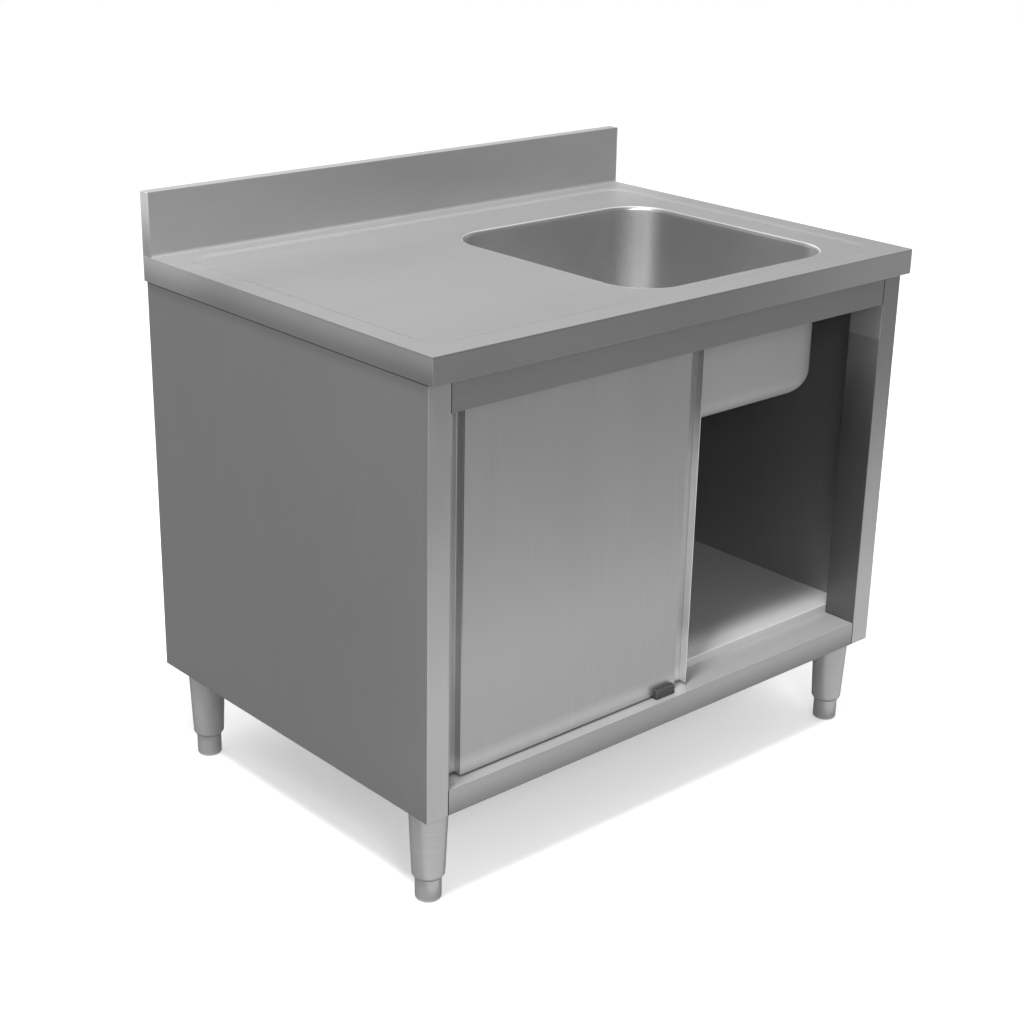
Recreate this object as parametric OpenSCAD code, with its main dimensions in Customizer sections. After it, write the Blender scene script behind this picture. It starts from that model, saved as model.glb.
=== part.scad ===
// Stainless steel sink cabinet with a drainboard, one pressed bowl and two hanging sliding doors.
// The origin is on the floor, under the middle of the worktop. The front faces -Y and +X is to the right.

/* [Worktop] */
// Width of the worktop
top_w = 1000; // [900:10:1400]
// Depth of the worktop
top_d = 700; // [650:10:850]
// Height of the worktop above the floor
top_h = 850; // [820:5:950]
// Sheet of the worktop
top_t = 1.5; // [1:0.1:2]
// Height of the folded edge round the worktop
edge_h = 40; // [34:1:60]
// Width of the edge's return under the worktop
edge_return = 30; // [22:1:40]
// How far the worktop stands out in front of the carcass
overhang_front = 15; // [5:1:20]
// How far the worktop stands out at each side of the carcass
overhang_side = 5; // [1:1:15]

/* [Upstand] */
// Height of the upstand above the worktop
upstand_h = 100; // [60:5:150]
// Thickness of the upstand
upstand_t = 20; // [12:1:30]
// Radius where the worktop turns up into the upstand
upstand_cove_r = 6; // [3:1:10]

/* [Drip rim] */
// How far the pressed deck lies below the rim
dish_depth = 2.5; // [1.5:0.5:5]
// Width of the slope from the rim down to the deck
dish_slope_w = 9; // [5:1:14]
// Width of the rim along the front
rim_front = 42; // [25:1:46]
// Width of the rim along each side
rim_side = 34; // [25:1:60]
// Width of the rim along the upstand
rim_back = 34; // [20:1:60]
// Corner radius of the rim
rim_corner_r = 48; // [25:1:80]

/* [Bowl] */
// Inside width of the bowl
bowl_w = 440; // [340:10:480]
// Inside depth of the bowl from front to back
bowl_d = 450; // [340:10:480]
// Depth of the bowl below the deck
bowl_depth = 235; // [150:5:300]
// Sheet of the bowl
bowl_t = 1.2; // [0.8:0.1:1.5]
// Corner radius of the bowl
bowl_corner_r = 72; // [55:1:100]
// Radius between the bowl's walls and its floor
bowl_floor_r = 40; // [20:1:50]
// Radius of the bowl's rim
bowl_rim_r = 6; // [4:0.5:10]
// Distance from the bowl to the right end of the worktop
bowl_inset = 100; // [60:1:140]
// Gap between the rear door and the bowl
bowl_clearance = 3; // [2:0.5:10]

/* [Waste] */
// Diameter of the threaded outlet
outlet_d = 47.8; // [40:0.1:60]
// Length of the threaded outlet below its collar
outlet_l = 50; // [30:1:80]
// Wall of the outlet
outlet_t = 3; // [2:0.5:4]
// Width of the waste flange round the outlet
waste_flange_w = 12; // [8:1:16]
// Depth of the recess that holds the waste flange
waste_recess = 5; // [3:0.5:8]
// Thickness of the sealing ring
seal_t = 3; // [2:0.5:5]
// Height of the lock nut
lock_nut_h = 10; // [6:1:16]

/* [Carcass] */
// Sheet of the carcass
panel_t = 1.2; // [0.8:0.1:2]
// Width of each front post
post_w = 40; // [30:1:60]
// Height of the rail above the doors
rail_h = 48; // [46:1:80]
// Height of the rail below the doors
base_h = 40; // [32:1:60]
// Height of the shelf above the sill
shelf_step = 15; // [6:1:30]
// Width of the folded flanges inside the carcass
flange_w = 25; // [20:1:35]
// Gap between a rail and a post
joint_gap = 0.8; // [0.5:0.1:1]
// Width of the stiffening channels
channel_w = 50; // [30:1:70]
// Height of the channel under the shelf
channel_h = 22; // [12:1:30]

/* [Doors] */
// How far the front door lies behind the posts' front faces
door_setback = 20; // [16:1:30]
// Thickness of a door
door_t = 16; // [15:0.5:22]
// Sheet of the doors
door_sheet_t = 1; // [0.8:0.1:1.5]
// Gap between the two doors
door_gap = 4.5; // [4:0.5:10]
// Gap behind the rear door
door_back_gap = 5.5; // [4:0.5:12]
// How much the closed doors overlap
door_overlap = 90; // [60:2:140]
// Gap under the doors
door_floor_gap = 4; // [3.5:0.5:8]
// How far the doors reach up behind the top rail
door_lap = 6; // [3:0.5:8]
// Gap between each door and the left post, as the doors stand
door_rest_gap = 11; // [2:1:30]
// Width of the finger pull along each upright edge of a door
pull_w = 28; // [22:1:36]

/* [Running gear] */
// Radius of a roller
roller_r = 11; // [9:0.5:12]
// Depth of a roller's groove
groove_depth = 2; // [1:0.5:3]
// Width of a roller
roller_w = 6; // [5:0.5:7]
// Radius of a roller's axle
axle_r = 3; // [2:0.5:3.5]
// Distance from a door's edge to the middle of a hanger
hanger_inset = 62; // [50:1:120]
// Width of a hanger
hanger_w = 34; // [28:1:44]
// Length of the door guide on the sill
guide_l = 40; // [24:1:60]
// Height of the door guide's front wall
guide_h = 16; // [10:1:24]

/* [Legs] */
// Height of the legs with their feet
leg_h = 156; // [154:1:200]
// Diameter of a leg at its top
leg_top_d = 60; // [54:1:68]
// Diameter of a leg above its chamfer
leg_low_d = 50; // [46:1:52]
// Sheet of the legs
leg_t = 1.5; // [1:0.1:2]
// Diameter of a foot
foot_d = 40; // [32:1:42]
// Height of the foot that shows under its leg
foot_show = 38; // [34:1:40]
// How far a foot can be screwed in
foot_in = 25; // [5:1:26]
// How far a foot can be screwed out
foot_out = 20; // [5:1:20]
// Radius of a foot's stem
stem_r = 6; // [4:0.5:8]
// Side of the square plate over each leg
plate_w = 90; // [90:1:120]
// Thickness of the plate over each leg
plate_t = 4; // [3:0.5:6]
// Distance from a leg's middle to the carcass side
leg_inset_side = 40; // [38:1:46]
// Distance from a front leg's middle to the carcass front
leg_inset_front = 45; // [40:1:50]
// Distance from a rear leg's middle to the carcass back
leg_inset_back = 58; // [40:1:60]

/* [Fasteners] */
// Radius of the studs on the leg plates
stud_r = 3; // [2.5:0.5:4]
// Radius of the small screws
screw_r = 2; // [1.5:0.5:2.5]

/* [Hidden] */
$fn = 64;

// Clearances
run_gap = 0.08;
slip_gap = 0.3;
hole_gap = 0.3;
face_gap = 0.15;
guide_gap = 0.6;

// Carcass
body_w = top_w - 2 * overhang_side;
body_front = -top_d / 2 + overhang_front;
body_back = top_d / 2;
side_in = body_w / 2 - panel_t;
back_in = body_back - 2 * panel_t;
z_base = leg_h;
z_plate = z_base + plate_t;
z_sill = z_base + base_h;
z_shelf = z_sill + shelf_step;
z_top = top_h - edge_h;
z_rail = z_top - rail_h;
open_half = body_w / 2 - post_w;
rail_half = open_half - joint_gap;
rear_rail_w = 40;
rear_rail_lip = 20;
shelf_fold = 26;

// Doors, and the lane that each one runs in
lane_w = door_t + door_gap;
front_door_y = body_front + door_setback;
rear_door_y = front_door_y + lane_w;
post_d = door_setback + lane_w + door_t + door_back_gap;
post_back = body_front + post_d;
door_w = open_half + door_overlap / 2;
door_z = z_sill + door_floor_gap;
door_top = z_rail + door_lap;
door_x = -open_half + door_rest_gap;
skin_t = door_sheet_t;

// Worktop and bowl
rim_z = top_h;
deck_z = rim_z - dish_depth;
upstand_y = top_d / 2 - upstand_t;
dish_w = top_w - 2 * rim_side;
dish_front = -top_d / 2 + rim_front;
dish_back = upstand_y - rim_back;
dish_d = dish_back - dish_front;
dish_y = (dish_front + dish_back) / 2;
bowl_front = rear_door_y + door_t + bowl_clearance + bowl_t;
bowl_x = top_w / 2 - bowl_inset - bowl_w / 2;
bowl_y = bowl_front + bowl_d / 2;
bowl_z = deck_z - bowl_depth;

// Waste
outlet_r = outlet_d / 2;
collar_r = outlet_r + 1.1;
waste_hole_r = collar_r + 1;
flange_r = collar_r + waste_flange_w;
recess_floor_r = flange_r + 3;
recess_top_r = recess_floor_r + waste_recess;
waste_z = bowl_z - waste_recess;
waste_flange_t = 3;
strainer_r = collar_r + 3;
strainer_t = 1.2;
collar_l = bowl_t + seal_t + lock_nut_h + 2;

// Running gear, from the carcass top down
track_t = 1.5;
track_z = z_top - panel_t;
roller_z = track_z - track_t - 2 - roller_r;
groove_r = roller_r - groove_depth;
lip_z = roller_z - groove_r - slip_gap;
lip_h = groove_depth + 4.5;
hanger_t = 2;
hanger_y = 0.5;
roller_y = hanger_y + hanger_t + 1.5;
web_back = lane_w - 3.5;
rail_flange_back = rear_door_y + web_back;

// Legs and feet
mouth_r = foot_d / 2 + 0.4;
foot_insert = 20;
foot_top = foot_show + foot_insert;
bush_z = foot_top + foot_in + 5;
bush_h = 10;
stem_top = bush_z + bush_h + foot_out + 3;
chamfer_h = 5;
leg_shoulder = foot_show + chamfer_h;
stud_l = 8;
nut_h = 5;
stud_inset = 20;
stud_places = [[flange_w / 2, stud_inset], [flange_w / 2, plate_w - 13],
    [plate_w - stud_inset, flange_w / 2]];

// A box from its lowest corner to its highest
module box(low, high) {
    translate(low) cube(high - low);
}

// A rectangle with round corners, about the middle
module round_rect(w, d, r) {
    square([w - 2 * r, d], center = true);
    square([w, d - 2 * r], center = true);
    for (sx = [-1, 1], sy = [-1, 1])
        translate([sx * (w / 2 - r), sy * (d / 2 - r)]) circle(r);
}

// Sweeps a section round a rectangle with round corners.
// The section's x is the distance outwards from the rectangle, and its y is the height.
module swept_round(w, d, r) {
    for (i = [0:3]) {
        half_x = i % 2 == 0 ? w / 2 : d / 2;
        half_y = i % 2 == 0 ? d / 2 : w / 2;
        rotate([0, 0, 90 * i]) {
            translate([half_x, half_y - r, 0])
                rotate([90, 0, 0])
                    linear_extrude(2 * (half_y - r)) children();
            translate([half_x - r, half_y - r, 0])
                rotate_extrude(angle = 90) translate([r, 0]) children();
        }
    }
}

// A quarter of a ring, in the quadrant where x and y have the signs given
module quarter_ring(r_in, r_out, sx, sy) {
    intersection() {
        difference() {
            circle(r_out);
            circle(r_in);
        }
        translate([sx < 0 ? -r_out : 0, sy < 0 ? -r_out : 0]) square(r_out);
    }
}

// A folded channel with a flat web below and two lips on top, along X
module hat_channel(x_from, x_to, z_from, z_to, t) {
    lip = 12;
    half = channel_w / 2;
    box([x_from, -half, z_from], [x_to, half, z_from + t]);
    for (s = [0, 1]) mirror([0, s, 0]) {
        box([x_from, half - t, z_from], [x_to, half, z_to]);
        box([x_from, half - t, z_to - t], [x_to, half + lip, z_to]);
    }
}

// A pan head screw that points down, with its head on z = 0
module screw(r, l) {
    translate([0, 0, -l]) cylinder(r = r, h = l);
    cylinder(r = 1.75 * r, h = 1.2 * r);
}

// The children in each carcass corner, with x and y running inwards from the sheet
module at_corner(sx, sy) {
    translate([sx * side_in, sy < 0 ? body_front + panel_t : back_in, 0])
        mirror([sx > 0 ? 1 : 0, 0, 0])
            mirror([0, sy > 0 ? 1 : 0, 0]) children();
}
module at_corners() {
    for (sx = [-1, 1], sy = [-1, 1]) at_corner(sx, sy) children();
}
module stud_holes() {
    at_corners()
        for (p = stud_places)
            translate([p.x, p.y, z_plate - 1]) cylinder(r = stud_r + hole_gap, h = panel_t + 2);
}

// Worktop: deck with its drip rim, folded edges with their return, and the upstand
module deck_border() {
    translate([0, 0, rim_z - top_t])
        linear_extrude(top_t)
            difference() {
                square([top_w, top_d], center = true);
                translate([0, dish_y]) round_rect(dish_w, dish_d, rim_corner_r);
            }
}
module deck_slope() {
    translate([0, dish_y, 0])
        swept_round(dish_w, dish_d, rim_corner_r)
            polygon([[0, rim_z], [0, rim_z - top_t],
                [-dish_slope_w, deck_z - top_t], [-dish_slope_w, deck_z]]);
}
module deck_floor() {
    translate([0, 0, deck_z - top_t])
        linear_extrude(top_t)
            difference() {
                translate([0, dish_y])
                    round_rect(dish_w - 2 * dish_slope_w, dish_d - 2 * dish_slope_w,
                        rim_corner_r - dish_slope_w);
                translate([bowl_x, bowl_y])
                    round_rect(bowl_w + 2 * bowl_rim_r, bowl_d + 2 * bowl_rim_r,
                        bowl_corner_r + bowl_rim_r);
            }
}
module folded_edge() {
    linear_extrude(edge_h)
        difference() {
            square([top_w, top_d], center = true);
            square([top_w - 2 * top_t, top_d - 2 * top_t], center = true);
        }
    linear_extrude(top_t)
        difference() {
            square([top_w, top_d], center = true);
            square([top_w - 2 * edge_return, top_d - 2 * edge_return], center = true);
        }
}
module upstand() {
    half_w = top_w / 2;
    cap_gap = top_t;
    top_z = rim_z + upstand_h;
    box([-half_w + cap_gap, upstand_y, rim_z - top_t], [half_w - cap_gap, upstand_y + top_t, top_z]);
    box([-half_w + cap_gap, upstand_y, top_z - top_t], [half_w - cap_gap, body_back, top_z]);
    box([-half_w + cap_gap, body_back - top_t, rim_z - top_t], [half_w - cap_gap, body_back, top_z]);
    translate([-half_w + cap_gap, upstand_y, rim_z])
        rotate([90, 0, 90])
            linear_extrude(top_w - 2 * cap_gap)
                difference() {
                    translate([-upstand_cove_r, -top_t / 2])
                        square([upstand_cove_r + top_t / 2, upstand_cove_r + top_t / 2]);
                    translate([-upstand_cove_r, upstand_cove_r]) circle(upstand_cove_r);
                }
}
module worktop() {
    color("silver") {
        deck_border();
        deck_slope();
        deck_floor();
        translate([0, 0, z_top]) folded_edge();
        upstand();
    }
}
module upstand_end_plates() {
    color("lightgray")
        for (s = [0, 1]) mirror([s, 0, 0])
            box([-top_w / 2, upstand_y, rim_z], [-top_w / 2 + top_t, body_back, rim_z + upstand_h]);
}

// Bowl: rim, walls and floor in one pressing, with a recess and a hole for the waste
module bowl_section() {
    translate([bowl_rim_r, deck_z - bowl_rim_r])
        quarter_ring(bowl_rim_r - bowl_t, bowl_rim_r, -1, 1);
    translate([0, bowl_z + bowl_floor_r])
        square([bowl_t, bowl_depth - bowl_floor_r - bowl_rim_r]);
    translate([-bowl_floor_r, bowl_z + bowl_floor_r])
        quarter_ring(bowl_floor_r, bowl_floor_r + bowl_t, 1, -1);
}
module bowl_floor() {
    translate([0, 0, bowl_z - bowl_t])
        linear_extrude(bowl_t)
            difference() {
                round_rect(bowl_w - 2 * bowl_floor_r, bowl_d - 2 * bowl_floor_r,
                    bowl_corner_r - bowl_floor_r);
                circle(recess_top_r);
            }
    rotate_extrude()
        polygon([[waste_hole_r, waste_z], [recess_floor_r, waste_z], [recess_top_r, bowl_z],
            [recess_top_r, bowl_z - bowl_t], [recess_floor_r, waste_z - bowl_t],
            [waste_hole_r, waste_z - bowl_t]]);
}
module sink_bowl() {
    color("gainsboro")
        translate([bowl_x, bowl_y, 0]) {
            swept_round(bowl_w, bowl_d, bowl_corner_r) bowl_section();
            bowl_floor();
        }
}

// Channels under the deck: two across the drainboard and one behind the bowl
board_left = -top_w / 2 + edge_return;
board_right = bowl_x - bowl_w / 2 - bowl_rim_r;
channel_step = (board_right - board_left) / 3;
channel_run = top_d / 2 - edge_return - slip_gap;
rear_channel_y = (bowl_y + bowl_d / 2 + bowl_rim_r + upstand_y) / 2;
rear_channel_x = board_left + 2 * channel_step + channel_w / 2 + 12 + slip_gap;
module top_stiffeners() {
    color("darkgray") {
        for (i = [1, 2])
            translate([board_left + i * channel_step, 0, 0])
                rotate([0, 0, 90])
                    hat_channel(-channel_run, channel_run, z_top, deck_z - top_t, panel_t);
        translate([0, rear_channel_y, 0])
            hat_channel(rear_channel_x, top_w / 2 - edge_return - slip_gap,
                z_top + top_t, deck_z - top_t, panel_t);
    }
}

// Waste: flanged outlet, strainer with its screw, sealing ring and lock nut
module at_waste() {
    translate([bowl_x, bowl_y, 0]) children();
}
module waste_flange() {
    tube_r = outlet_r - outlet_t;
    seat = waste_z + waste_flange_t - strainer_t;
    collar_z = waste_z - collar_l;
    spider_t = 3;
    color("whitesmoke")
        at_waste() {
            rotate_extrude()
                polygon([[tube_r, collar_z - outlet_l], [outlet_r, collar_z - outlet_l],
                    [outlet_r, collar_z], [collar_r, collar_z], [collar_r, waste_z],
                    [flange_r, waste_z], [flange_r, waste_z + waste_flange_t / 2],
                    [flange_r - 1.5, waste_z + waste_flange_t],
                    [strainer_r + slip_gap, waste_z + waste_flange_t],
                    [strainer_r + slip_gap, seat], [tube_r, seat]]);
            difference() {
                intersection() {
                    translate([0, 0, seat - 8]) cylinder(r = tube_r + 0.5, h = 8);
                    union() {
                        translate([-tube_r - 1, -spider_t / 2, seat - 8])
                            cube([2 * tube_r + 2, spider_t, 8]);
                        translate([0, 0, seat - 8]) cylinder(r = screw_r + 3, h = 8);
                    }
                }
                translate([0, 0, seat - 9]) cylinder(r = screw_r + run_gap, h = 10);
            }
        }
}
module waste_strainer() {
    hole_r = 2.6;
    color("silver")
        at_waste()
            translate([0, 0, waste_z + waste_flange_t - strainer_t])
                difference() {
                    cylinder(r = strainer_r, h = strainer_t);
                    translate([0, 0, -1]) cylinder(r = screw_r + hole_gap, h = strainer_t + 2);
                    for (ring = [[9, 6], [16, 12]], i = [0:ring[1] - 1])
                        rotate([0, 0, 360 / ring[1] * (i + 0.5)])
                            translate([ring[0], 0, -1]) cylinder(r = hole_r, h = strainer_t + 2);
                }
}
module waste_strainer_screw() {
    color("gray")
        at_waste() translate([0, 0, waste_z + waste_flange_t]) screw(screw_r, 8);
}
module waste_seal() {
    color("dimgray")
        at_waste()
            translate([0, 0, waste_z - bowl_t - seal_t])
                difference() {
                    cylinder(r = flange_r, h = seal_t);
                    translate([0, 0, -1]) cylinder(r = collar_r + slip_gap, h = seal_t + 2);
                }
}
module waste_lock_nut() {
    nut_z = waste_z - bowl_t - seal_t - lock_nut_h;
    color("lightgray")
        at_waste() {
            difference() {
                union() {
                    translate([0, 0, nut_z]) cylinder(r = flange_r, h = lock_nut_h, $fn = 6);
                    translate([0, 0, nut_z + lock_nut_h - 2]) cylinder(r = flange_r, h = 2);
                }
                translate([0, 0, nut_z - 1]) cylinder(r = collar_r + run_gap, h = lock_nut_h + 2);
            }
        }
}

// Side panel: one sheet folded into a box post in front, with flanges above, below and behind
module left_panel() {
    side = -body_w / 2;
    post_in = side + post_w;
    difference() {
        union() {
            box([side, body_front, z_base], [side + panel_t, body_back, z_top]);
            box([side, body_front, z_base], [post_in, body_front + panel_t, z_top]);
            box([post_in - panel_t, body_front, z_plate], [post_in, post_back, z_top]);
            box([side, post_back - panel_t, z_plate], [post_in, post_back, z_top]);
            box([side, body_back - panel_t, z_base], [side + flange_w, body_back, z_top]);
            for (z = [z_plate, z_top - panel_t])
                box([side, body_front, z], [side + flange_w, back_in, z + panel_t]);
        }
        stud_holes();
        rail_screw_holes();
    }
}
module side_panel_left() {
    color("darkgray") left_panel();
}
module side_panel_right() {
    color("darkgray") mirror([1, 0, 0]) left_panel();
}

// Places of the screws that hold the rails' end tabs to the posts
tab_w = door_setback - 5;
rail_screw_z = (z_top + lip_z) / 2;
base_screw_z = (z_plate + z_sill) / 2 + 1;
screw_y = body_front + panel_t + tab_w / 2;
module at_rail_screws() {
    for (z = [rail_screw_z, base_screw_z])
        translate([-rail_half + panel_t, screw_y, z]) rotate([0, 90, 0]) children();
}
module rail_screw_holes() {
    at_rail_screws() translate([0, 0, -10]) cylinder(r = screw_r + hole_gap, h = 12);
}
module rail_end_tab(z_from, z_to) {
    box([-rail_half, body_front, z_from], [-rail_half + panel_t, body_front + panel_t + tab_w, z_to]);
}
module frame_screws() {
    color("gray")
        for (s = [0, 1]) mirror([s, 0, 0]) at_rail_screws() screw(screw_r, 8);
}

module back_panel() {
    color("darkgray")
        difference() {
            union() {
                box([-side_in, back_in, z_base], [side_in, body_back - panel_t, z_top]);
                flange_half = body_w / 2 - flange_w;
                box([-flange_half, back_in - flange_w, z_plate],
                    [flange_half, back_in + panel_t, z_plate + panel_t]);
            }
            stud_holes();
        }
}

// Rail above the doors: front face, top flange, bottom lip and two end tabs
module front_top_rail() {
    rail_lip = 12;
    color("silver")
        difference() {
            union() {
                box([-rail_half, body_front, z_rail], [rail_half, body_front + panel_t, z_top]);
                box([-rail_half, body_front, z_top - panel_t], [rail_half, rail_flange_back, z_top]);
                box([-rail_half, body_front, z_rail], [rail_half, body_front + rail_lip, z_rail + panel_t]);
                for (s = [0, 1]) mirror([s, 0, 0]) rail_end_tab(lip_z - 6, z_top);
            }
            for (s = [0, 1]) mirror([s, 0, 0]) rail_screw_holes();
        }
}
module rear_top_rail() {
    half = body_w / 2 - flange_w;
    color("darkgray") {
        box([-half, back_in - panel_t, z_rail], [half, back_in, z_top]);
        box([-half, back_in - rear_rail_w, z_top - panel_t], [half, back_in, z_top]);
        box([-half, back_in - rear_rail_lip, z_rail], [half, back_in, z_rail + panel_t]);
    }
}

// Double track: for each door a web, a foot and an upright lip that the grooved rollers ride on
module door_track() {
    lip_y = roller_y + roller_w / 2 - track_t / 2;
    color("lightgray") {
        box([-rail_half + 2 * panel_t, front_door_y, track_z - track_t],
            [rail_half - 2 * panel_t, rail_flange_back, track_z]);
        for (y = [front_door_y, rear_door_y]) {
            box([-rail_half + 2 * panel_t, y + web_back - track_t, lip_z - lip_h],
                [rail_half - 2 * panel_t, y + web_back, track_z]);
            box([-rail_half + 2 * panel_t, y + lip_y, lip_z - lip_h],
                [rail_half - 2 * panel_t, y + web_back, lip_z - lip_h + track_t]);
            box([-rail_half + 2 * panel_t, y + lip_y, lip_z - lip_h],
                [rail_half - 2 * panel_t, y + lip_y + track_t, lip_z]);
        }
    }
}

// Rail below the doors: front face, sill, rear wall, bottom flange and two end tabs
module base_rail() {
    color("silver")
        difference() {
            union() {
                box([-rail_half, body_front, z_base], [rail_half, body_front + panel_t, z_sill]);
                box([-rail_half, body_front, z_sill - panel_t], [rail_half, post_back, z_sill]);
                box([-rail_half, post_back - panel_t, z_plate], [rail_half, post_back, z_sill]);
                box([-rail_half, body_front, z_plate],
                    [rail_half, body_front + flange_w, z_plate + panel_t]);
                for (s = [0, 1]) mirror([s, 0, 0]) rail_end_tab(z_plate, z_sill);
            }
            stud_holes();
            for (s = [0, 1]) mirror([s, 0, 0]) rail_screw_holes();
            at_guide_screws() translate([0, 0, -6]) cylinder(r = screw_r + hole_gap, h = 8);
        }
}

module bottom_shelf() {
    color("silver") {
        box([-side_in, post_back, z_shelf - panel_t], [side_in, back_in, z_shelf]);
        box([-side_in, post_back, z_shelf - shelf_fold], [side_in, post_back + panel_t, z_shelf]);
        box([-side_in, back_in - panel_t, z_shelf - shelf_fold], [side_in, back_in, z_shelf]);
        for (s = [0, 1]) mirror([s, 0, 0])
            box([-side_in, post_back, z_shelf - shelf_fold], [-side_in + panel_t, back_in, z_shelf]);
    }
}
module shelf_stiffener() {
    under = z_shelf - panel_t;
    reach = side_in - panel_t - slip_gap;
    color("darkgray")
        translate([0, (post_back + back_in) / 2, 0])
            hat_channel(-reach, reach, under - channel_h, under, panel_t);
}

// Door guide: a moulded block on the sill with a wall before, between and behind the doors
guide_base_h = 3;
guide_wall_h = door_floor_gap + 8;
guide_front = front_door_y - guide_gap - 9;
module at_guide_screws() {
    for (y = [front_door_y + door_t / 2, rear_door_y + door_t / 2])
        translate([0, y, z_sill + guide_base_h]) children();
}
module flat_screw(l) {
    translate([0, 0, -l]) cylinder(r = screw_r, h = l);
    translate([0, 0, -screw_r]) cylinder(r1 = screw_r, r2 = 2 * screw_r, h = screw_r);
}
module door_guide() {
    half = guide_l / 2;
    color("dimgray")
        difference() {
            union() {
                box([-half, guide_front, z_sill], [half, post_back - slip_gap, z_sill + guide_base_h]);
                box([-half, guide_front, z_sill],
                    [half, front_door_y - guide_gap, z_sill + guide_h]);
                box([-half, front_door_y + door_t + guide_gap, z_sill],
                    [half, rear_door_y - guide_gap, z_sill + guide_wall_h]);
                box([-half, rear_door_y + door_t + guide_gap, z_sill],
                    [half, post_back - slip_gap, z_sill + guide_wall_h]);
            }
            at_guide_screws() {
                translate([0, 0, -6]) cylinder(r = screw_r + face_gap, h = 8);
                translate([0, 0, -screw_r - face_gap])
                    cylinder(r1 = screw_r, r2 = 2 * screw_r + 2 * face_gap, h = screw_r + 2 * face_gap);
            }
        }
}
module door_guide_screws() {
    color("gray") at_guide_screws() flat_screw(8);
}

// Door: a folded front skin with a finger pull at each upright edge, closed by a flat liner behind
module pull_fold() {
    back = door_t - skin_t;
    box([0, 0, 0], [skin_t, back, door_top - door_z]);
    box([0, back - skin_t, 0], [pull_w, back, door_top - door_z]);
    box([pull_w - skin_t, 0, 0], [pull_w, back, door_top - door_z]);
}
module door_skin() {
    door_h = door_top - door_z;
    difference() {
        union() {
            pull_fold();
            translate([door_w, 0, 0]) mirror([1, 0, 0]) pull_fold();
            box([pull_w - skin_t, 0, 0], [door_w - pull_w + skin_t, skin_t, door_h]);
            for (z = [0, door_h - skin_t])
                box([pull_w - skin_t, 0, z], [door_w - pull_w + skin_t, door_t - skin_t, z + skin_t]);
        }
        at_hanger_screws() translate([0, 0, -6]) cylinder(r = screw_r + hole_gap, h = 8);
    }
}
module door_liner() {
    box([0, door_t - skin_t, 0], [door_w, door_t, door_top - door_z]);
}
module door_stiffener() {
    edge = 12;
    inner = door_t - skin_t;
    door_h = door_top - door_z;
    half = channel_w / 2;
    translate([door_w / 2, 0, 0]) {
        box([-half, skin_t, edge], [half, 2 * skin_t, door_h - edge]);
        for (s = [0, 1]) mirror([s, 0, 0]) {
            box([half - skin_t, skin_t, edge], [half, inner, door_h - edge]);
            box([half - skin_t, inner - skin_t, edge], [half + edge, inner, door_h - edge]);
        }
    }
}

// Hangers on the door's top edge, with the axles that carry the rollers
module at_hangers() {
    for (x = [hanger_inset, door_w - hanger_inset]) translate([x, 0, 0]) children();
}
module at_hanger_screws() {
    at_hangers()
        for (s = [-1, 1])
            translate([s * (hanger_w / 2 - 5), door_t / 2 + 1, door_top - door_z]) children();
}
module door_hangers() {
    foot_z = door_top - door_z;
    axle_z = roller_z - door_z;
    half = hanger_w / 2;
    difference() {
        at_hangers() {
            box([-half, hanger_y, foot_z], [half, door_t - 2, foot_z + hanger_t]);
            box([-half, hanger_y, foot_z], [half, hanger_y + hanger_t, axle_z - 8]);
            box([-axle_r - 5, hanger_y, foot_z], [axle_r + 5, hanger_y + hanger_t, axle_z]);
            translate([0, hanger_y + hanger_t, axle_z])
                rotate([90, 0, 0]) cylinder(r = axle_r + 5, h = hanger_t);
        }
        at_hangers()
            translate([0, hanger_y + hanger_t + 1, axle_z])
                rotate([90, 0, 0]) cylinder(r = axle_r + run_gap, h = hanger_t + 2);
        at_hanger_screws() translate([0, 0, -1]) cylinder(r = screw_r + hole_gap, h = hanger_t + 2);
    }
}
module door_hanger_screws() {
    at_hanger_screws() translate([0, 0, hanger_t]) screw(screw_r, 8);
}
module door_axles() {
    collar = axle_r + 1.5;
    roller_back = roller_y + roller_w;
    at_hangers()
        translate([0, 0, roller_z - door_z])
            rotate([-90, 0, 0]) {
                translate([0, 0, hanger_y - 2]) cylinder(r = collar + 0.5, h = 2);
                translate([0, 0, hanger_y]) cylinder(r = axle_r, h = roller_back + 1 - hanger_y);
                translate([0, 0, hanger_y + hanger_t])
                    cylinder(r = collar, h = roller_y - face_gap - hanger_y - hanger_t);
                translate([0, 0, roller_back + face_gap]) cylinder(r = collar, h = 1.2);
            }
}
module roller() {
    bore = axle_r + run_gap;
    groove_half = track_t / 2 + 0.45;
    half = roller_w / 2;
    rotate([-90, 0, 0])
        rotate_extrude()
            polygon([[bore, -half], [roller_r - 0.6, -half], [roller_r, -half + 0.6],
                [roller_r, -groove_half - 0.4], [groove_r, -groove_half], [groove_r, groove_half],
                [roller_r, groove_half + 0.4], [roller_r, half - 0.6], [roller_r - 0.6, half],
                [bore, half]]);
}
module at_roller(door_y, along) {
    color("ivory")
        translate([door_x + along, door_y + roller_y + roller_w / 2, roller_z]) roller();
}
module at_front_door() {
    color("silver") translate([door_x, front_door_y, door_z]) children();
}
module at_rear_door() {
    color("silver") translate([door_x, rear_door_y, door_z]) children();
}

// Plates over the legs, held to the carcass flanges by studs and nuts
module leg_plates() {
    color("slategray")
        at_corners() {
            box([0, 0, z_base], [plate_w, plate_w, z_plate]);
            for (p = stud_places) translate([p.x, p.y, z_plate]) cylinder(r = stud_r, h = stud_l);
        }
}
module leg_plate_nuts() {
    color("gray")
        at_corners()
            for (p = stud_places)
                translate([p.x, p.y, z_plate + panel_t])
                    difference() {
                        cylinder(r = 1.9 * stud_r, h = nut_h, $fn = 6);
                        translate([0, 0, -1]) cylinder(r = stud_r + run_gap, h = nut_h + 2);
                    }
}

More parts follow.
